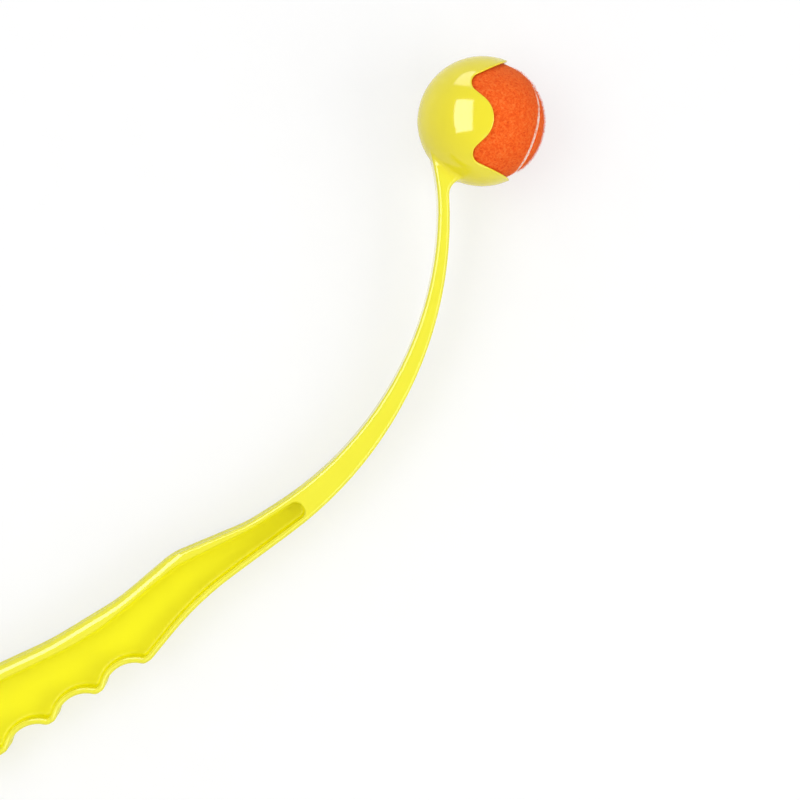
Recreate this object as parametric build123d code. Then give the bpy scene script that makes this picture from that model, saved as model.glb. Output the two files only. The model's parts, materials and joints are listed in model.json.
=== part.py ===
from build123d import *
import math
import os

# A ball thrower: one plastic moulding (grip, arm and cup) that holds a felt-covered ball.
# The moulding is drawn in a flat plan and laid on a table at the end.
# Plan: x runs forward along the grip, y towards the palm edge, z is the depth of the moulding.
# The plan's origin is on the palm edge at the arm's root, where the grip begins.
# All sizes are in millimetres and all angles in degrees.

# Ball
BALL_DIAMETER = 50.8
FELT_THICKNESS = 2.2
CORE_WALL = 3.2
CEMENT_GAP = 0.25
SEAM_WIDTH = 2.2
SEAM_SINK = 0.4
SEAM_GAP = 0.1
SEAM_WAVE = 0.25
SEAM_ROLL = -31.4
SEAM_PITCH = -55.0
SEAM_YAW = 137.8
SEAM_POINTS = 40
MERIDIAN_TURN = 45.0

# Cup, with its mouth in shares of the cup's outer radius
CUP_CLEARANCE = 0.3
CUP_WALL = 1.4
RIM_ROUNDING = 0.5
MOUTH_ANGLE = -31.2
JAW_ANGLE = 24.5
NOTCH_RADIUS_SHARE = 0.1476
NOTCH_SPACING_SHARE = 1.059
NOTCH_BACK_SHARE = 0.052
LOBE_RADIUS_SHARE = 0.411
LOBE_REACH_SHARE = 0.1145

# Arm, from its root to the cup's centre
ARM_REACH = 158.8
ARM_RISE = 89.0
ROOT_WIDTH = 13.0
MIDDLE_WIDTH = 7.9
NECK_WIDTH = 4.8
NECK_BLEND = 6.5
NECK_FILLET = 3.0

# Neck, where the arm's arc ends: how far it is short of the cup's centre and to its side, in cup radii
NECK_SHORT_SHARE = 1.426
NECK_SIDE_SHARE = 0.673

# Grip outline, measured up from the palm edge at the arm's root
BLADE_DEPTH = 20.0
EDGE_ROUNDING = 1.6
GRIP_LENGTH = 172.0
GRIP_UNDERSIDE = 26.4
THUMB_REST_HEIGHT = 5.8
THUMB_RISE_ROUNDING = 60.0
THUMB_REST_ROUNDING = 30.0
SADDLE_START_HEIGHT = 1.7
SADDLE_END_HEIGHT = 2.3
SADDLE_ROUNDING = 80.0
HEEL_HEIGHT = 10.5
HEEL_RISE_ROUNDING = 120.0
BUTT_ROUNDING = 9.0
RAMP_ROUNDING = 140.0
GUARD_ROUNDING = 6.0
PALM_ROUNDING = 3.6
ROUNDING_LIFT = 0.05

# Places along the grip, as shares of its length back from the arm's root
THUMB_RISE_SHARE = 0.081
THUMB_REST_SHARE = 0.279
SADDLE_START_SHARE = 0.448
SADDLE_END_SHARE = 0.64
RAMP_SHARE = 0.279
GUARD_SHARE = 0.4506
GROOVES_START_SHARE = 0.459
GROOVES_END_SHARE = 0.874

# Finger grooves: width and depth as shares of their pitch, and how much of a crest's flat its rounding takes
GROOVE_COUNT = 3
GROOVE_WIDTH_SHARE = 0.825
GROOVE_DEPTH_SHARE = 0.192
CREST_SHARE = 0.75

# Pockets, one in each side of the grip: their floor's rounding is in shares of that of the crests
WEB_THICKNESS = 3.0
RIM_WIDTH = 2.4
PALM_WALL_FRONT = 2.6
PALM_WALL_THUMB = 4.6
PALM_WALL_GRIP = 6.8
POCKET_FRONT = 10.0
POCKET_END_ROUNDING = 3.3
POCKET_BUTT_ROUNDING = 6.0
POCKET_BEVEL = 0.5
BEVEL_ANGLE = 45.0
FLOOR_ROUNDING_SHARE = 0.85

MARGIN = 2.0
TOUCH = 0.01
NEAR_NECK = 0.7


def polar(angle):
    """Unit vector of the plan at an angle from x."""
    return Vector(math.cos(math.radians(angle)), math.sin(math.radians(angle)))


ball_radius = BALL_DIAMETER / 2
core_radius = ball_radius - FELT_THICKNESS
cavity_radius = ball_radius + CUP_CLEARANCE
cup_radius = cavity_radius + CUP_WALL
half_depth = BLADE_DEPTH / 2
# Radius of the cup's outside at the depth of the blade's flanks.
flank_radius = math.sqrt(cup_radius ** 2 - half_depth ** 2)

cup_centre = Vector(ARM_REACH, ARM_RISE)
mouth_plane = Plane(cup_centre, x_dir=polar(MOUTH_ANGLE), z_dir=(0, 0, 1))
cup_plane = Plane(cup_centre, x_dir=polar(MOUTH_ANGLE + 90), z_dir=polar(MOUTH_ANGLE))

# The arm's palm edge is an arc that leaves the grip in line with it and ends at the neck.
neck_short = cup_radius * NECK_SHORT_SHARE
neck_side = cup_radius * NECK_SIDE_SHARE
neck_square = neck_short ** 2 + neck_side ** 2
arm_radius = (ARM_REACH ** 2 + ARM_RISE ** 2 - neck_square) / (2 * (ARM_RISE + neck_side))
arm_centre = Vector(0, arm_radius)
cup_bearing = math.atan2(ARM_RISE - arm_radius, ARM_REACH)
neck_bearing = cup_bearing - math.atan2(neck_short, arm_radius + neck_side)
arm_sweep = 90 + math.degrees(neck_bearing)
flare_radius = (neck_square - flank_radius ** 2) / (2 * (flank_radius - neck_side))

thumb_rise = GRIP_LENGTH * THUMB_RISE_SHARE
thumb_rest = GRIP_LENGTH * THUMB_REST_SHARE
saddle_start = GRIP_LENGTH * SADDLE_START_SHARE
saddle_end = GRIP_LENGTH * SADDLE_END_SHARE
guard_back = GRIP_LENGTH * GUARD_SHARE
grooves_start = GRIP_LENGTH * GROOVES_START_SHARE
groove_pitch = (GRIP_LENGTH * GROOVES_END_SHARE - grooves_start) / GROOVE_COUNT
groove_depth = groove_pitch * GROOVE_DEPTH_SHARE
groove_half = groove_pitch * GROOVE_WIDTH_SHARE / 2
groove_radius = (groove_half ** 2 + groove_depth ** 2) / (2 * groove_depth)
palm_points = [
    (0, 0),
    (-thumb_rise, 0),
    (-thumb_rest, THUMB_REST_HEIGHT),
    (-saddle_start, SADDLE_START_HEIGHT),
    (-saddle_end, SADDLE_END_HEIGHT),
    (-GRIP_LENGTH, HEEL_HEIGHT),
]
palm_radii = [THUMB_RISE_ROUNDING, THUMB_REST_ROUNDING, SADDLE_ROUNDING, HEEL_RISE_ROUNDING]


def across_arm(sweep, width):
    """Point of the arm at an angle of its arc from the root, a width in from the palm edge."""
    return arm_centre + polar(sweep - 90) * (arm_radius + width)


def arc_about(centre, radius, start, end):
    """Arc round a centre, the shorter way between two points on it."""
    middle = (start - centre).normalized() + (end - centre).normalized()
    return ThreePointArc(start, centre + middle.normalized() * radius, end)


def finger_edge():
    """Circle of the arm's finger edge, which narrows from the root to the neck."""
    root = across_arm(0, ROOT_WIDTH)
    middle = across_arm(arm_sweep / 2, MIDDLE_WIDTH)
    return ThreePointArc(root, middle, across_arm(arm_sweep, NECK_WIDTH)).edge()


def arm_edges():
    """Both edges of the arm from its root into the cup, each blended towards the cup's outside."""
    finger = finger_edge()
    finger_centre = finger.arc_center
    to_cup = cup_centre - finger_centre
    finger_reach = finger.radius + NECK_BLEND
    cup_reach = flank_radius + NECK_BLEND
    along = (finger_reach ** 2 - cup_reach ** 2 + to_cup.length ** 2) / (2 * to_cup.length)
    across = math.sqrt(finger_reach ** 2 - along ** 2)
    ahead = to_cup.normalized()
    blend_centre = finger_centre + ahead * along + ahead.rotate(Axis.Z, -90) * across
    blend_start = finger_centre + (blend_centre - finger_centre).normalized() * finger.radius
    blend_end = cup_centre + (blend_centre - cup_centre).normalized() * flank_radius

    neck = across_arm(arm_sweep, 0)
    flare_centre = neck - polar(arm_sweep - 90) * flare_radius
    flare_end = flare_centre + (cup_centre - flare_centre).normalized() * flare_radius
    return [
        arc_about(finger_centre, finger.radius, finger @ 0, blend_start),
        arc_about(blend_centre, NECK_BLEND, blend_start, blend_end),
        Line(blend_end, cup_centre),
        Line(cup_centre, flare_end),
        arc_about(flare_centre, flare_radius, flare_end, neck),
        arc_about(arm_centre, arm_radius, neck, Vector(0, 0)),
    ]


def inset_corner(before, corner, after, inset):
    """Corner of an outline moved inward, to the left of its direction."""
    first = (corner - before).normalized().rotate(Axis.Z, 90)
    second = (after - corner).normalized().rotate(Axis.Z, 90)
    return corner + (first + second) * (inset / (1 + first.dot(second)))


def finger_points(inset):
    """Straight underside of the grip from the butt to the pocket's front, before the grooves."""
    finger = finger_edge()
    root = finger @ 0
    forward = finger % 0
    butt = Vector(-GRIP_LENGTH, -GRIP_UNDERSIDE)
    guard = Vector(-guard_back, -GRIP_UNDERSIDE)
    ramp = root - forward * (GRIP_LENGTH * RAMP_SHARE)
    front = root + forward * (POCKET_FRONT / forward.X)
    heel = Vector(-GRIP_LENGTH, HEEL_HEIGHT)
    return [
        inset_corner(heel, butt, guard, inset),
        inset_corner(butt, guard, ramp, inset),
        inset_corner(guard, ramp, root, inset),
        front + forward.rotate(Axis.Z, 90) * inset,
    ]


def groove_slope(inset):
    """Slope of a groove's side where it meets the underside of an outline moved inward."""
    return math.acos((groove_radius - groove_depth + inset) / (groove_radius + inset))


def crest_rounding(inset):
    """Rounding of the crests between the grooves of an outline moved inward."""
    slope = groove_slope(inset)
    crest = groove_pitch - 2 * (groove_radius + inset) * math.sin(slope)
    return CREST_SHARE * crest / (2 * math.tan(slope / 2))


def grooved(face, inset):
    """Cuts the finger grooves into the underside of an outline and rounds the crests between them."""
    centre_y = groove_depth - GRIP_UNDERSIDE - groove_radius
    half_width = (groove_radius + inset) * math.sin(groove_slope(inset))
    floor_y = inset - GRIP_UNDERSIDE
    crests = []
    for index in range(GROOVE_COUNT):
        centre_x = -grooves_start - (index + 0.5) * groove_pitch
        face -= Pos(centre_x, centre_y) * Circle(groove_radius + inset)
        crests += [Vector(centre_x - half_width, floor_y), Vector(centre_x + half_width, floor_y)]
    corners = [min(face.vertices(), key=lambda v: (Vector(v) - crest).length) for crest in crests]
    return fillet(corners, crest_rounding(inset))


def blade_face():
    """Side outline of grip and arm, which runs into the cup."""
    edges = arm_edges()
    butt, guard, ramp = finger_points(0)[:3]
    points = palm_points + [butt, guard, ramp, edges[0] @ 0]
    radii = palm_radii + [BUTT_ROUNDING, BUTT_ROUNDING, GUARD_ROUNDING, RAMP_ROUNDING]
    grip_line = FilletPolyline(*points, radius=radii)
    return grooved(make_face([*grip_line.edges(), *edges]), 0)


def rounded_blade():
    """Grip and arm as one thick blade, its long edges rounded up to the cup."""
    blade = extrude(blade_face(), half_depth, both=True)
    edges = blade.faces().filter_by(Axis.Z).edges()
    outside = [edge for edge in edges if (edge.center() - cup_centre).length > cup_radius]
    return fillet(outside, EDGE_ROUNDING)


def pocket_face():
    """Outline of a pocket: a thin rim round the fingers and a thick palm wall."""
    butt, guard, ramp, front = finger_points(RIM_WIDTH)
    saddle_middle = (saddle_start + saddle_end) / 2
    saddle_height = (SADDLE_START_HEIGHT + SADDLE_END_HEIGHT) / 2
    points = [
        front,
        (POCKET_FRONT, -PALM_WALL_FRONT),
        (-thumb_rise, -PALM_WALL_FRONT),
        (-thumb_rest, THUMB_REST_HEIGHT - PALM_WALL_THUMB),
        (-saddle_middle, saddle_height - PALM_WALL_GRIP),
        (butt.X, HEEL_HEIGHT - PALM_WALL_GRIP),
        butt,
        guard,
        ramp,
    ]
    radii = [
        POCKET_END_ROUNDING,
        POCKET_END_ROUNDING,
        THUMB_RISE_ROUNDING,
        THUMB_REST_ROUNDING,
        HEEL_RISE_ROUNDING,
        POCKET_BUTT_ROUNDING,
        POCKET_BUTT_ROUNDING,
        GUARD_ROUNDING - RIM_WIDTH,
        RAMP_ROUNDING,
    ]
    outline = FilletPolyline(*points, radius=radii, close=True)
    return grooved(make_face(outline.edges()), RIM_WIDTH)


def mouth_cutter():
    """Everything in front of the rim: two flaring jaws, and between notches a lobe on each flank."""
    notch_radius = cup_radius * NOTCH_RADIUS_SHARE
    lobe_radius = cup_radius * LOBE_RADIUS_SHARE
    lobe_reach = cup_radius * LOBE_REACH_SHARE
    notch = Vector(-cup_radius * NOTCH_BACK_SHARE, cup_radius * NOTCH_SPACING_SHARE / 2)
    lobe = Vector(lobe_reach - lobe_radius, 0)
    jaw = polar(JAW_ANGLE)
    jaw_start = notch + jaw.rotate(Axis.Z, 90) * notch_radius
    jaw_far = jaw_start + jaw * (2 * cup_radius)
    between = lobe - notch
    lean = math.degrees(math.acos((notch_radius + lobe_radius) / between.length))
    normal = between.normalized().rotate(Axis.Z, -lean)
    notch_end = notch + normal * notch_radius
    lobe_start = lobe - normal * lobe_radius
    upper = [
        Line(jaw_far, jaw_start),
        ThreePointArc(jaw_start, notch - Vector(notch_radius, 0), notch_end),
        Line(notch_end, lobe_start),
    ]
    lower = [mirror(edge, Plane.XZ) for edge in upper]
    lobe_arc = ThreePointArc(lobe_start, (lobe_reach, 0), (lobe_start.X, -lobe_start.Y))
    front = Line(jaw_far, (jaw_far.X, -jaw_far.Y))
    face = make_face([*upper, lobe_arc, *lower, front])
    return mouth_plane * extrude(face, cup_radius + MARGIN, both=True)


def cup_ball():
    """Outer ball of the cup, cut to its rim, with the rim's outer edge rounded."""
    ball = cup_plane * Sphere(cup_radius) - mouth_cutter()
    outer = ball.faces().filter_by(GeomType.SPHERE).sort_by(SortBy.AREA)[-1]
    return fillet(outer.outer_wire().edges(), RIM_ROUNDING)


def palm_cutter():
    """Takes the corner off the palm edge, from the heel until it runs out over the thumb rest."""
    thumb, dip_start, dip_end, heel = [Vector(*point) for point in palm_points[2:]]
    run_out = thumb + (thumb - dip_start)
    over_heel = heel + (heel - dip_end).normalized() * PALM_ROUNDING
    path = FilletPolyline(run_out, dip_start, dip_end, over_heel, radius=palm_radii[2:])
    corner = half_depth + ROUNDING_LIFT
    centre = (corner - PALM_ROUNDING, ROUNDING_LIFT - PALM_ROUNDING)
    square = Pos(*centre) * Rectangle(2 * PALM_ROUNDING, 2 * PALM_ROUNDING, align=Align.MIN)
    section = square - Pos(*centre) * Circle(PALM_ROUNDING)
    start = Plane(path @ 0, x_dir=(0, 0, 1), z_dir=path % 0)
    cutter = sweep(start * section, path=path)
    return cutter + mirror(cutter, Plane.XY)


def pockets():
    """Tools for the two pockets, with rounded floors, one each side of the web."""
    floor = WEB_THICKNESS / 2
    tool = Pos(0, 0, floor) * extrude(pocket_face(), half_depth - floor + MARGIN)
    floor_rounding = FLOOR_ROUNDING_SHARE * crest_rounding(RIM_WIDTH)
    tool = fillet(tool.faces().sort_by(Axis.Z)[0].edges(), floor_rounding)
    bevel = extrude(pocket_face(), POCKET_BEVEL + TOUCH, taper=-BEVEL_ANGLE)
    tool += Pos(0, 0, half_depth - POCKET_BEVEL) * bevel
    return tool + mirror(tool, Plane.XY)


def neck_crease(body):
    """Loop of edges where the arm meets the cup's outside."""
    to_neck = (across_arm(arm_sweep, 0) - cup_centre).normalized()
    crease = []
    for edge in body.edges():
        reach = edge @ 0.5 - cup_centre
        on_cup = abs(reach.length - cup_radius) < TOUCH
        if on_cup and reach.dot(to_neck) > NEAR_NECK * cup_radius:
            crease.append(edge)
    return crease


def moulding():
    """The whole thrower: blade and cup blended together, hollowed for the ball and cored in the grip."""
    body = rounded_blade() + cup_ball()
    body = fillet(neck_crease(body), NECK_FILLET)
    body -= cup_plane * Sphere(cavity_radius)
    body -= palm_cutter()
    return body - pockets()


def seam_curve(radius, shift):
    """Seam of the ball at a radius, moved sideways along the ball's surface by a shift at full size."""
    outer = 1 - SEAM_WAVE
    rise = 2 * math.sqrt(outer * SEAM_WAVE)
    points = []
    for index in range(SEAM_POINTS):
        turn = 2 * math.pi * index / SEAM_POINTS
        point = Vector(
            outer * math.cos(turn) + SEAM_WAVE * math.cos(3 * turn),
            outer * math.sin(turn) - SEAM_WAVE * math.sin(3 * turn),
            rise * math.sin(2 * turn),
        )
        along = Vector(
            -outer * math.sin(turn) - 3 * SEAM_WAVE * math.sin(3 * turn),
            outer * math.cos(turn) - 3 * SEAM_WAVE * math.cos(3 * turn),
            2 * rise * math.cos(2 * turn),
        )
        side = point.cross(along).normalized()
        angle = shift / ball_radius
        points.append((point * math.cos(angle) + side * math.sin(angle)) * radius)
    return Spline(*points, periodic=True).edge()


def seam_band(inner, outer, width):
    """Closed band that follows the seam, between two radii of the ball."""
    corners = [(inner, -width / 2), (outer, -width / 2), (outer, width / 2), (inner, width / 2)]
    curves = [seam_curve(radius, shift) for radius, shift in corners]
    walls = [Face.make_surface_from_curves(curves[i - 1], curves[i]) for i in range(4)]
    return Solid(Shell(walls))


def ball_pieces():
    """Rubber core in two bonded halves, two felt panels and the seam between them, seated in the cup."""
    felt_inside = core_radius + CEMENT_GAP
    core = Sphere(core_radius) - Sphere(core_radius - CORE_WALL)
    first_half = Pos(0, 0, BALL_DIAMETER / 2) * Box(BALL_DIAMETER, BALL_DIAMETER, BALL_DIAMETER)
    # Turned so that the felt's own meridian crosses the seam squarely.
    felt = Rot(Z=MERIDIAN_TURN) * (Sphere(ball_radius) - Sphere(felt_inside))
    groove = seam_band(felt_inside - MARGIN, ball_radius + MARGIN, SEAM_WIDTH + 2 * SEAM_GAP)
    panels = (felt - groove).solids().sort_by(Axis.Z)
    pieces = {
        "ball_core_half_1": core & first_half,
        "ball_core_half_2": core - first_half,
        "felt_panel_1": panels[1],
        "felt_panel_2": panels[0],
        "ball_seam": seam_band(felt_inside, ball_radius - SEAM_SINK, SEAM_WIDTH),
    }
    seat = mouth_plane.location * Rot(Z=SEAM_YAW) * Rot(Y=SEAM_PITCH) * Rot(X=SEAM_ROLL)
    return {name: seat * piece for name, piece in pieces.items()}


def table_tilt():
    """Lean of the thrower on a table: it lies on the cup's outside and on the grip's finger edge."""
    rise = ARM_RISE + GRIP_UNDERSIDE - EDGE_ROUNDING
    drop = half_depth - EDGE_ROUNDING
    lean = math.asin((cup_radius - EDGE_ROUNDING) / math.hypot(rise, drop)) - math.atan2(drop, rise)
    return math.degrees(lean)


def laid_on_table(pieces):
    """All pieces with the table at z = 0 and the origin under the middle of their common box."""
    tilted = {name: Rot(X=table_tilt()) * piece for name, piece in pieces.items()}
    box = Compound(list(tilted.values())).bounding_box()
    middle = box.center()
    to_origin = Pos(-middle.X, -middle.Y, -box.min.Z)
    return {name: to_origin * piece for name, piece in tilted.items()}


def main():
    os.makedirs("parts", exist_ok=True)
    pieces = laid_on_table({"thrower_moulding": moulding(), **ball_pieces()})
    for name, piece in pieces.items():
        export_step(piece, f"parts/{name}.step")


main()
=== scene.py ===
import json
import math
import random

import bmesh
import bpy
from mathutils import Matrix, Vector, noise
from mathutils.kdtree import KDTree


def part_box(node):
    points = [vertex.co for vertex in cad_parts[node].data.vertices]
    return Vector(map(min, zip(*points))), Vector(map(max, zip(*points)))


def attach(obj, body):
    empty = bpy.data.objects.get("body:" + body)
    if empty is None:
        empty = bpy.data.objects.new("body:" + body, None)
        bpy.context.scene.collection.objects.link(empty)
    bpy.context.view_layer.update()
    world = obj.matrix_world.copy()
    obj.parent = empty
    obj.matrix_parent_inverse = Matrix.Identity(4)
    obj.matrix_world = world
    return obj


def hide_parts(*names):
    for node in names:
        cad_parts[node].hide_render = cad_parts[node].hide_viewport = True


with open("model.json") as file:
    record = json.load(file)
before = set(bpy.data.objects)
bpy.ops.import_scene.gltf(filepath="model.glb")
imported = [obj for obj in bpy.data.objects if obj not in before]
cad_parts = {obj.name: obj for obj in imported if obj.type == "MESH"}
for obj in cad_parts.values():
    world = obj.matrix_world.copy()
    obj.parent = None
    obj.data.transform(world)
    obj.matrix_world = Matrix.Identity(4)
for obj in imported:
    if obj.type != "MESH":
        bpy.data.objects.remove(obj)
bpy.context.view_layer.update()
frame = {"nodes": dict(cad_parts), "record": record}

# A yellow ball thrower that lies on a white table with an orange felt ball in its cup.
# The plan is the thrower's own flat drawing: x along the grip, y to the palm side, z out of its side.
MM = 0.001
PLAN_CUP = Vector((158.8, 89.0, 0.0)) * MM
PLAN_MIDDLE = Vector((67.7, 9.1, 0.0)) * MM
MOUTH_ANGLE = math.radians(-31.2)

# Camera
VIEW_DISTANCE = 1.05
VIEW_PIXELS = 800
PIXEL_MM = 0.4185
VIEW_WIDTH = VIEW_PIXELS * PIXEL_MM * MM
VIEW_ROLL = math.radians(-32.3)
PALM_LEAN = math.radians(3.2)
SENSOR = 36.0
CLIP_START = 0.01
CLIP_END = 20.0

# Lamps: degrees to the right of and above the view axis, distance from the ball, size and radiance
LAMPS = {
    "key_softbox": (-35.5, 4.5, 1.2, (0.72, 1.22), 1.58),
    "upper_softbox": (-58, 70, 1.3, (0.77, 0.72), 1.0),
    "lower_softbox": (4.6, -38.6, 1.3, (0.3, 0.5), 1.6),
    "right_fill": (47, -16, 1.5, (0.8, 1.2), 2.9),
}
# Lamps that show in gloss only
SHINES = {
    "key_shine": (-35.5, 4.5, 1.19, (0.72, 1.22), 5.4),
    "upper_shine": (-58, 70, 1.29, (0.77, 0.72), 2.6),
    "rim_shine": (24, -34, 1.25, (0.5, 0.4), 3.5),
}

# Sky overhead and at the horizon, as light and as seen
SKY_TOP = 0.7
SKY_LOW = 0.42
SKY_SEEN_TOP = 0.5
SKY_SEEN_LOW = 1.0

# Floor: its colour as seen and as it lights the object, how far it is lifted to white, to the eye
# and in reflections, and the distances over which it fades to full white
FLOOR_WHITE = [(0.3, (0.93, 0.93, 0.93)), (0.7, (0.95, 0.95, 0.95))]
FLOOR_GREY = [(0.3, (0.56, 0.56, 0.56)), (0.7, (0.58, 0.58, 0.58))]
FLOOR_GLOW = 0.62
GLOSS_GLOW = 0.2
FADE_REACH = (0.3, 1.4)
FLOOR_HALF = 3.0

# Plastic: its colour on the flanks, painted bounce light deep in the grip, painted orange light in the
# cup
FLANK_YELLOW = [(0.3, (0.86, 0.8, 0.032)), (0.7, (0.89, 0.84, 0.038))]
# Painted bounce light: a more saturated yellow in the pockets
POCKET_BOUNCE_YELLOW = [(0.3, (0.87, 0.82, 0.0)), (0.7, (0.9, 0.86, 0.002))]
# Painted orange light from the ball on the thin cup round it
CUP_ORANGE_LIGHT_YELLOW = [(0.3, (0.86, 0.745, 0.02)), (0.7, (0.89, 0.78, 0.024))]
# Where these give way to each other: depth from the middle plane, place along x and reach from the
# ball's centre
POCKET_DEPTH = (5.0 * MM, 9.5 * MM)
GRIP_END = (4.0 * MM, 30.0 * MM)
CUP_END = (27.2 * MM, 31.0 * MM)
# In the pockets and on the sides of the grip it is rougher, and shines less than on the flanks.
POLISH = (0.07, 0.12)
POCKET_MATT = 0.3
FLANK_SHINE = 0.5
POCKET_SHINE = 0.14
SCRATCH_STOPS = [(0.66, (0.0, 0.0, 0.0)), (0.74, (1.0, 1.0, 1.0))]

# Rubber; felt from painted shade in the hollows to painted light on the tips; cement from soiled to clean
RUBBER_BLACK = [(0.3, (0.028, 0.028, 0.03)), (0.75, (0.07, 0.068, 0.064))]
FELT_ORANGE = [(0.34, (0.82, 0.067, 0.003)), (0.5, (0.98, 0.143, 0.011)), (0.66, (1.0, 0.24, 0.044))]
FIBRE_ORANGE = [(0.34, (0.9, 0.096, 0.006)), (0.5, (0.98, 0.153, 0.015)), (0.66, (1.0, 0.25, 0.05))]
FELT_SHEEN = (1.0, 0.42, 0.16, 1.0)
SEAM_CREAM = [(0.36, (0.95, 0.42, 0.25)), (0.48, (0.96, 0.76, 0.62)), (0.62, (0.97, 0.9, 0.83))]

# Seam of the ball
SEAM_TURN = (math.radians(-31.4), math.radians(-55.0), math.radians(137.8))
SEAM_WAVE = 0.25
SEAM_SAMPLES = 720
SEAM_HALF = 1.3 * MM
SEAM_TOP = 25.12 * MM
SEAM_BOTTOM = 24.1 * MM
# Cross-section of the strip, in half widths and shares of its height, and how uneven it is
SEAM_SECTION = [(-1.0, 0.0), (-0.95, 0.7), (-0.5, 0.95), (0.0, 1.0), (0.5, 0.95), (0.95, 0.7), (1.0, 0.0)]
SEAM_WANDER = 0.7
SEAM_WANDER_SCALE = 30.0
OTHER_EDGE = Vector((9.0, 0.0, 0.0))
SEAM_LUMPS = 0.07 * MM
SEAM_LUMP_SCALE = 90.0

# Felt: its surface, the scales and shares of its lumps, and its edges along the seam
FELT_DETAIL = 7
FELT_TOP = 25.2 * MM
FELT_DIP = 0.8 * MM
FELT_LUMPS = 0.12 * MM
LUMP_SHARES = [(9.0, 0.5), (42.0, 0.75), (110.0, 0.6)]
EDGE_WANDER = 0.25 * MM
EDGE_WANDER_SCALE = 60.0
EDGE_BLUR = 0.3 * MM

# Loose fibres, with length and half width in millimetres. They bend and rise on their way, and their
# roots keep clear of most of the seam.
FIBRE_COUNT = 34000
FIBRE_SEED = 7
FIBRE_STEPS = 3
FIBRE_REACH = 25.5 * MM
FIBRE_ROOT = 0.08 * MM
FIBRE_LENGTH = (0.9, 2.3)
FIBRE_HALF = (0.022, 0.05)
FIBRE_BEND = 1.1
FIBRE_LIFT = (0.1, 1.0)
FIBRE_ARCH = 0.75
FIBRE_TAPER = 0.6
FIBRE_JITTER = 0.02
FIBRE_CLEAR = 0.8

# Outside the cup the nap stands up, inside it is pressed flat.
MOUTH_SHARES = (0.42, 0.7)
FREE_NAP = 0.35 * MM
FREE_REACH = 1.05 * MM

flank = next(mount for mount in frame["record"]["mounts"] if mount["name"] == "arm_flank")
tilt = math.atan2(-flank["axis"][1], flank["axis"][2])
core_boxes = [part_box("ball_core_half_1"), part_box("ball_core_half_2")]
core_low = Vector(map(min, core_boxes[0][0], core_boxes[1][0]))
core_high = Vector(map(max, core_boxes[0][1], core_boxes[1][1]))
ball_centre = (core_low + core_high) / 2
lay = Matrix.Rotation(tilt, 4, "X")
plan_to_row = Matrix.Translation(ball_centre) @ lay @ Matrix.Translation(-PLAN_CUP)
mouth = lay.to_3x3() @ Vector((math.cos(MOUTH_ANGLE), math.sin(MOUTH_ANGLE), 0.0))
flank_out = lay.to_3x3() @ Vector((0.0, 0.0, 1.0))


def link(obj):
    bpy.context.scene.collection.objects.link(obj)
    return obj


def mesh_object(name, vertices, faces, material, smooth=True):
    mesh = bpy.data.meshes.new(name)
    mesh.from_pydata(vertices, [], faces)
    mesh.materials.append(material)
    if smooth:
        mesh.shade_smooth()
    mesh.update()
    return link(bpy.data.objects.new(name, mesh))


class Nodes:
    """Short calls to build a node tree."""

    def __init__(self, tree):
        self.tree = tree
        self.places = self.add("ShaderNodeTexCoord").outputs
        self.coords = self.places["Object"]

    def add(self, kind, **settings):
        node = self.tree.nodes.new(kind)
        for key, value in settings.items():
            setattr(node, key, value)
        return node

    def link(self, source, target):
        self.tree.links.new(source, target)

    def scaled(self, scale):
        node = self.add("ShaderNodeMapping")
        node.inputs["Scale"].default_value = scale
        self.link(self.coords, node.inputs["Vector"])
        return node.outputs["Vector"]

    def noise(self, scale, detail=3.0, roughness=0.5, distortion=0.0, vector=None):
        node = self.add("ShaderNodeTexNoise")
        node.inputs["Scale"].default_value = scale
        node.inputs["Detail"].default_value = detail
        node.inputs["Roughness"].default_value = roughness
        node.inputs["Distortion"].default_value = distortion
        self.link(vector or self.coords, node.inputs["Vector"])
        return node.outputs["Fac"]

    def ramp(self, value, stops):
        node = self.add("ShaderNodeValToRGB")
        elements = node.color_ramp.elements
        while len(elements) < len(stops):
            elements.new(0.5)
        for element, (place, colour) in zip(elements, stops):
            element.position = place
            element.color = (*colour, 1.0)
        self.link(value, node.inputs["Fac"])
        return node.outputs["Color"]

    def span(self, value, low, high, start=0.0, end=1.0):
        node = self.add("ShaderNodeMapRange")
        node.inputs["From Min"].default_value = start
        node.inputs["From Max"].default_value = end
        node.inputs["To Min"].default_value = low
        node.inputs["To Max"].default_value = high
        self.link(value, node.inputs["Value"])
        return node.outputs["Result"]

    def mixed(self, share, first, second):
        node = self.add("ShaderNodeMix", data_type="RGBA")
        sockets = {socket.identifier: socket for socket in node.inputs}
        self.link(share, sockets["Factor_Float"])
        self.link(first, sockets["A_Color"])
        self.link(second, sockets["B_Color"])
        return next(socket for socket in node.outputs if socket.identifier == "Result_Color")

    def vector(self, operation, first, second):
        node = self.add("ShaderNodeVectorMath", operation=operation)
        self.link(first, node.inputs[0])
        node.inputs[1].default_value = second
        return node.outputs

    def sums(self, operation, first, second=None):
        node = self.add("ShaderNodeMath", operation=operation)
        self.link(first, node.inputs[0])
        if second:
            self.link(second, node.inputs[1])
        return node.outputs["Value"]

    def bump(self, height, strength, distance, normal=None):
        node = self.add("ShaderNodeBump")
        node.inputs["Strength"].default_value = strength
        node.inputs["Distance"].default_value = distance
        self.link(height, node.inputs["Height"])
        if normal:
            self.link(normal, node.inputs["Normal"])
        return node.outputs["Normal"]

    def seen_directly(self):
        """1 for rays that carry a picture (camera, gloss, glass), 0 for those that only light."""
        path = self.add("ShaderNodeLightPath").outputs
        either = self.sums("MAXIMUM", path["Is Camera Ray"], path["Is Glossy Ray"])
        return self.sums("MAXIMUM", either, path["Is Transmission Ray"])


class Surface(Nodes):
    """Node tree of a new material."""

    def __init__(self, name):
        self.material = bpy.data.materials.new(name)
        self.material.use_nodes = True
        super().__init__(self.material.node_tree)
        self.shader = self.tree.nodes["Principled BSDF"]

    def fix(self, values):
        for name, value in values.items():
            self.shader.inputs[name].default_value = value

    def drive(self, name, source):
        self.link(source, self.shader.inputs[name])


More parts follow.
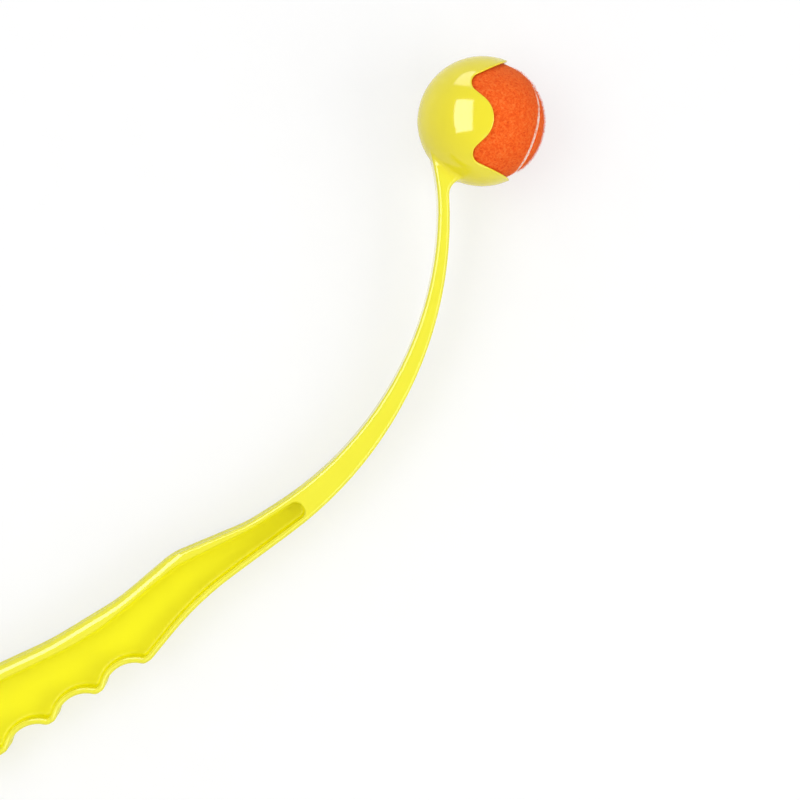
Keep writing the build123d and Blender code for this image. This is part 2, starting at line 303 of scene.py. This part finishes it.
def plastic_material():
    """Glossy lemon-yellow moulding with flow marks, a ripple, scratches and painted light in pockets and
    cup.
    """
    nodes = Surface("yellow_plastic")
    drawn_out = nodes.scaled((0.5, 1.0, 1.0))
    flow = nodes.noise(38.0, detail=4.0, roughness=0.55, distortion=0.6, vector=drawn_out)
    from_ball = nodes.vector("SUBTRACT", nodes.coords, ball_centre)["Vector"]
    depth = nodes.sums("ABSOLUTE", nodes.vector("DOT_PRODUCT", from_ball, flank_out)["Value"])
    along = nodes.vector("DOT_PRODUCT", nodes.coords, (1.0, 0.0, 0.0))["Value"]
    reach = nodes.vector("DISTANCE", nodes.coords, ball_centre)["Value"]
    inside = nodes.span(depth, 1.0, 0.0, *POCKET_DEPTH)
    in_grip = nodes.span(along, 1.0, 0.0, *GRIP_END)
    in_pocket = nodes.sums("MULTIPLY", inside, in_grip)
    in_cup = nodes.span(reach, 1.0, 0.0, *CUP_END)
    # Painted bounce light: a deeper, more saturated yellow in the pockets, as between their yellow walls.
    blade = nodes.mixed(in_pocket, nodes.ramp(flow, FLANK_YELLOW), nodes.ramp(flow, POCKET_BOUNCE_YELLOW))
    # Painted light from the orange ball: an orange cast on the thin cup round it.
    nodes.drive("Base Color", nodes.mixed(in_cup, blade, nodes.ramp(flow, CUP_ORANGE_LIGHT_YELLOW)))
    haze = nodes.noise(420.0, roughness=0.6)
    polish = nodes.span(haze, *POLISH, start=0.3, end=0.7)
    nodes.drive("Roughness", nodes.sums("ADD", polish, nodes.span(in_pocket, 0.0, POCKET_MATT)))
    nodes.drive("Specular IOR Level", nodes.span(in_pocket, FLANK_SHINE, POCKET_SHINE))
    nodes.fix({"IOR": 1.5})
    ripple = nodes.bump(nodes.noise(260.0, detail=2.0), strength=0.08, distance=0.3 * MM)
    scratches = nodes.noise(900.0, detail=2.0, vector=nodes.scaled((0.04, 1.0, 1.0)))
    worn = nodes.ramp(scratches, SCRATCH_STOPS)
    nodes.drive("Normal", nodes.bump(worn, strength=0.05, distance=0.05 * MM, normal=ripple))
    return nodes.material


def rubber_material():
    """Dark moulded rubber of the ball's core, with a matt skin and a little bloom."""
    nodes = Surface("core_rubber")
    bloom = nodes.noise(120.0, detail=4.0, roughness=0.6)
    nodes.drive("Base Color", nodes.ramp(bloom, RUBBER_BLACK))
    nodes.drive("Roughness", nodes.span(bloom, low=0.6, high=0.8))
    nodes.drive("Normal", nodes.bump(nodes.noise(1400.0, detail=2.0), strength=0.3, distance=0.1 * MM))
    return nodes.material


def felt_material(name, colours):
    """Napped felt: matted fibres in tufts, with painted shade in their hollows and painted light on their
    tips.
    """
    nodes = Surface(name)
    tufts = nodes.noise(900.0, detail=4.0, roughness=0.7, distortion=0.4)
    strands = nodes.noise(2400.0, detail=4.0, roughness=0.7, distortion=2.5)
    # The colour follows the same tufts as the bump: painted shade in the hollows, painted light on the
    # tips.
    nodes.drive("Base Color", nodes.ramp(tufts, colours))
    nodes.fix({"Roughness": 0.92, "Specular IOR Level": 0.15})
    nodes.fix({"Sheen Weight": 0.6, "Sheen Roughness": 0.4, "Sheen Tint": FELT_SHEEN})
    matted = nodes.bump(tufts, strength=0.4, distance=0.4 * MM)
    nodes.drive("Normal", nodes.bump(strands, strength=0.5, distance=0.2 * MM, normal=matted))
    return nodes.material


def seam_material():
    """Pale rubbery cement of the seam, a little soiled, with fibres caught in it."""
    nodes = Surface("seam_cement")
    soil = nodes.noise(520.0, detail=4.0, roughness=0.6, distortion=0.5)
    nodes.drive("Base Color", nodes.ramp(soil, SEAM_CREAM))
    nodes.fix({"Roughness": 0.75})
    nodes.drive("Normal", nodes.bump(nodes.noise(1300.0, roughness=0.6), strength=0.5, distance=0.3 * MM))
    return nodes.material


def floor_material():
    """White table top: pale paint with a faint grain, lifted to white where nothing shades it."""
    nodes = Surface("white_table")
    grain = nodes.noise(60.0)
    seen = nodes.seen_directly()
    grey = nodes.ramp(grain, FLOOR_GREY)
    white = nodes.ramp(grain, FLOOR_WHITE)
    nodes.drive("Base Color", nodes.mixed(seen, grey, white))
    nodes.fix({"Roughness": 0.9, "Specular IOR Level": 0.1})
    to_eye = nodes.add("ShaderNodeLightPath").outputs["Is Camera Ray"]
    away = nodes.vector("DISTANCE", nodes.coords, (0.0, 0.0, 0.0))["Value"]
    near = nodes.span(to_eye, GLOSS_GLOW, FLOOR_GLOW)
    far = nodes.span(away, 0.0, 1.0, *FADE_REACH)
    lift = nodes.sums("MULTIPLY", nodes.sums("MAXIMUM", near, far), seen)
    glow = nodes.add("ShaderNodeEmission")
    mix = nodes.add("ShaderNodeMixShader")
    for source, socket in zip((lift, nodes.shader.outputs[0], glow.outputs[0]), mix.inputs):
        nodes.link(source, socket)
    nodes.link(mix.outputs[0], nodes.tree.nodes["Material Output"].inputs["Surface"])
    return nodes.material


yellow_plastic = plastic_material()
core_rubber = rubber_material()
felt_orange = felt_material("orange_felt", FELT_ORANGE)
fibre_orange = felt_material("orange_fibre", FIBRE_ORANGE)
seam_white = seam_material()

for node_name, material in (
    ("thrower_moulding", yellow_plastic),
    ("ball_core_half_1", core_rubber),
    ("ball_core_half_2", core_rubber),
):
    mesh = frame["nodes"][node_name].data
    mesh.materials.clear()
    mesh.materials.append(material)

# The seam is kept as directions from the ball's centre in the row frame, each with the one to its side.
roll, pitch, yaw = SEAM_TURN
seam_turn = Matrix.Rotation(yaw, 3, "Z") @ Matrix.Rotation(pitch, 3, "Y") @ Matrix.Rotation(roll, 3, "X")
seam_turn = lay.to_3x3() @ Matrix.Rotation(MOUTH_ANGLE, 3, "Z") @ seam_turn


def seam_frame(turn):
    """Direction of a point of the seam and the unit direction to its side."""
    outer = 1 - SEAM_WAVE
    rise = 2 * math.sqrt(outer * SEAM_WAVE)
    point = Vector((
        outer * math.cos(turn) + SEAM_WAVE * math.cos(3 * turn),
        outer * math.sin(turn) - SEAM_WAVE * math.sin(3 * turn),
        rise * math.sin(2 * turn),
    ))
    along = Vector((
        -outer * math.sin(turn) - 3 * SEAM_WAVE * math.sin(3 * turn),
        outer * math.cos(turn) - 3 * SEAM_WAVE * math.cos(3 * turn),
        2 * rise * math.cos(2 * turn),
    ))
    return (seam_turn @ point).normalized(), (seam_turn @ point.cross(along)).normalized()


seam_frames = [seam_frame(2 * math.pi * index / SEAM_SAMPLES) for index in range(SEAM_SAMPLES)]
seam_tree = KDTree(SEAM_SAMPLES)
for index, (point, side) in enumerate(seam_frames):
    seam_tree.insert(point, index)
seam_tree.balance()


def off_seam(direction):
    """Distance of a point of the ball from the seam, positive on the first panel's side."""
    near, index, gap = seam_tree.find(direction)
    angle = 2 * math.asin(min(1.0, gap / 2))
    return math.copysign(angle * FELT_TOP, (direction - near).dot(seam_frames[index][1]))


def smooth_step(value, low, high):
    share = min(1.0, max(0.0, (value - low) / (high - low)))
    return share * share * (3 - 2 * share)


def out_of_cup(direction):
    """How free the nap is: 0 where the cup presses it, 1 in the mouth."""
    return smooth_step(direction.dot(mouth), *MOUTH_SHARES)


def felt_height(direction, distance):
    """Radius of the felt's surface: lumpy, raised in the mouth and rolled under along the seam."""
    lumps = FELT_LUMPS * sum(share * noise.noise(direction * scale) for scale, share in LUMP_SHARES)
    edge = abs(distance) + EDGE_WANDER * noise.noise(direction * EDGE_WANDER_SCALE)
    free = FREE_NAP * out_of_cup(direction)
    under = 1 - smooth_step(edge, SEAM_HALF - EDGE_BLUR, SEAM_HALF + EDGE_BLUR)
    return FELT_TOP + free + lumps - FELT_DIP * under


def felt_panels():
    """Two felt panels that meet under the seam."""
    source = bmesh.new()
    bmesh.ops.create_icosphere(source, subdivisions=FELT_DETAIL, radius=1.0)
    directions = [vertex.co.normalized() for vertex in source.verts]
    distances = [off_seam(direction) for direction in directions]
    heights = [felt_height(d, s) for d, s in zip(directions, distances)]
    triangles = [[vertex.index for vertex in face.verts] for face in source.faces]
    source.free()
    panels = []
    for name, sign in (("felt_panel_1_nap", 1), ("felt_panel_2_nap", -1)):
        kept = [t for t in triangles if sign * sum(distances[v] for v in t) > 0]
        used = sorted({v for t in kept for v in t})
        place = {v: n for n, v in enumerate(used)}
        vertices = [ball_centre + directions[v] * heights[v] for v in used]
        faces = [[place[v] for v in t] for t in kept]
        panels.append(mesh_object(name, vertices, faces, felt_orange))
    return panels


def felt_fibres():
    """Loose fibres that lie on the nap and stand out a little, one set for each panel."""
    rng = random.Random(FIBRE_SEED)
    sets = {1: ([], []), -1: ([], [])}
    for number in range(FIBRE_COUNT):
        # Roots are spread evenly over the ball, each turned on by the golden angle.
        height = 1 - 2 * (number + 0.5) / FIBRE_COUNT
        turn = number * math.pi * (3 - math.sqrt(5)) + rng.uniform(-FIBRE_JITTER, FIBRE_JITTER)
        flat = math.sqrt(1 - height * height)
        start = Vector((flat * math.cos(turn), flat * math.sin(turn), height))
        distance = off_seam(start)
        if abs(distance) < FIBRE_CLEAR * SEAM_HALF:
            continue
        vertices, faces = sets[1 if distance > 0 else -1]
        heading = start.orthogonal().normalized()
        heading.rotate(Matrix.Rotation(rng.uniform(0, 2 * math.pi), 3, start))
        length = rng.uniform(*FIBRE_LENGTH) * MM
        bend = rng.uniform(-FIBRE_BEND, FIBRE_BEND)
        lift = rng.uniform(*FIBRE_LIFT)
        half = rng.uniform(*FIBRE_HALF) * MM
        base = len(vertices)
        direction = start
        surface = felt_height(start, distance)
        reach = FIBRE_REACH + FREE_REACH * out_of_cup(start)
        top = surface + lift * (reach - surface)
        for step in range(FIBRE_STEPS + 1):
            share = step / FIBRE_STEPS
            rise = (top - surface + FIBRE_ROOT) * math.sin(share * math.pi * FIBRE_ARCH)
            radius = surface - FIBRE_ROOT + rise
            side = direction.cross(heading).normalized() * half * (1 - FIBRE_TAPER * share)
            point = ball_centre + direction * min(radius, reach)
            vertices += [point - side, point + side]
            heading.rotate(Matrix.Rotation(bend / FIBRE_STEPS, 3, direction))
            direction = (direction + heading * (length / FIBRE_STEPS / FELT_TOP)).normalized()
        for step in range(FIBRE_STEPS):
            corner = base + 2 * step
            faces.append([corner, corner + 1, corner + 3, corner + 2])
    return [
        mesh_object("felt_panel_1_fibres", *sets[1], fibre_orange),
        mesh_object("felt_panel_2_fibres", *sets[-1], fibre_orange),
    ]


def seam_strip():
    """Raised strip of cement along the seam, uneven in width."""
    vertices = []
    for point, side in seam_frames:
        top = SEAM_TOP + FREE_NAP * out_of_cup(point)
        left = SEAM_HALF * (1 + SEAM_WANDER * noise.noise(point * SEAM_WANDER_SCALE))
        right = SEAM_HALF * (1 + SEAM_WANDER * noise.noise(point * SEAM_WANDER_SCALE + OTHER_EDGE))
        for across, up in SEAM_SECTION:
            shift = across * (left if across < 0 else right)
            lump = SEAM_LUMPS * noise.noise(point * SEAM_LUMP_SCALE + side * across)
            radius = SEAM_BOTTOM + (top + lump - SEAM_BOTTOM) * up
            direction = (point + side * (shift / FELT_TOP)).normalized()
            vertices.append(ball_centre + direction * radius)
    faces = []
    width = len(SEAM_SECTION)
    for index in range(SEAM_SAMPLES):
        here = index * width
        there = (index + 1) % SEAM_SAMPLES * width
        for corner in range(width):
            step = (corner + 1) % width
            faces.append([here + corner, here + step, there + step, there + corner])
    return mesh_object("ball_seam_strip", vertices, faces, seam_white)


panel_1, panel_2 = felt_panels()
fibres_1, fibres_2 = felt_fibres()
strip = seam_strip()
for piece in (panel_1, panel_2, fibres_1, fibres_2, strip):
    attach(piece, "ball")
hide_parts("felt_panel_1")
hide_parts("felt_panel_2")
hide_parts("ball_seam")

# Camera, seen as in the photograph: from above the flank, leaning to the palm side.
middle = plan_to_row @ PLAN_MIDDLE
plan_turn = plan_to_row.to_3x3()
view_back = plan_turn @ Vector((0.0, math.sin(PALM_LEAN), math.cos(PALM_LEAN)))
view_up = plan_turn @ Vector((-math.sin(VIEW_ROLL), math.cos(VIEW_ROLL), 0.0))
view_right = view_up.cross(view_back).normalized()
view_up = view_back.cross(view_right).normalized()
view_axes = Matrix((view_right, view_up, view_back)).transposed()

camera = link(bpy.data.objects.new("camera", bpy.data.cameras.new("camera")))
camera.data.sensor_width = SENSOR
camera.data.lens = SENSOR * VIEW_DISTANCE / VIEW_WIDTH
camera.matrix_world = Matrix.Translation(middle + view_back * VIEW_DISTANCE) @ view_axes.to_4x4()
camera.data.clip_start = CLIP_START
camera.data.clip_end = CLIP_END
bpy.context.scene.camera = camera


def softbox(name, across, up, distance, size, radiance):
    """Rectangular lamp, upright in the view and facing the ball."""
    a, e = math.radians(across), math.radians(up)
    place = view_axes @ Vector((math.sin(a) * math.cos(e), math.sin(e), math.cos(a) * math.cos(e)))
    side = view_up.cross(place).normalized()
    axes = Matrix((side, place.cross(side), place)).transposed()
    lamp = bpy.data.lights.new(name, "AREA")
    lamp.shape = "RECTANGLE"
    lamp.size, lamp.size_y = size
    lamp.energy = radiance * math.pi * size[0] * size[1]
    obj = link(bpy.data.objects.new(name, lamp))
    obj.matrix_world = Matrix.Translation(ball_centre + place * distance) @ axes.to_4x4()
    return obj


for name, values in LAMPS.items():
    softbox(name, *values)
for name, values in SHINES.items():
    softbox(name, *values).visible_diffuse = False


def studio_world():
    """White sky, brightest at the horizon where it is seen, and as light strongest from overhead."""
    world = bpy.data.worlds.new("studio")
    world.use_nodes = True
    nodes = Nodes(world.node_tree)
    parts = nodes.add("ShaderNodeSeparateXYZ")
    nodes.link(nodes.places["Generated"], parts.inputs["Vector"])
    lighting = nodes.span(parts.outputs["Z"], SKY_LOW, SKY_TOP)
    seen = nodes.span(parts.outputs["Z"], SKY_SEEN_LOW, SKY_SEEN_TOP)
    strength = nodes.add("ShaderNodeMapRange")
    nodes.link(lighting, strength.inputs["To Min"])
    nodes.link(seen, strength.inputs["To Max"])
    nodes.link(nodes.seen_directly(), strength.inputs["Value"])
    background = nodes.tree.nodes["Background"]
    background.inputs["Color"].default_value = (1.0, 1.0, 1.0, 1.0)
    nodes.link(strength.outputs["Result"], background.inputs["Strength"])
    return world


bpy.context.scene.world = studio_world()

corners = [
    (-FLOOR_HALF, -FLOOR_HALF, 0.0),
    (FLOOR_HALF, -FLOOR_HALF, 0.0),
    (FLOOR_HALF, FLOOR_HALF, 0.0),
    (-FLOOR_HALF, FLOOR_HALF, 0.0),
]
floor = mesh_object("table_top", corners, [[0, 1, 2, 3]], floor_material(), False)

bpy.context.scene.view_settings.view_transform = "Standard"
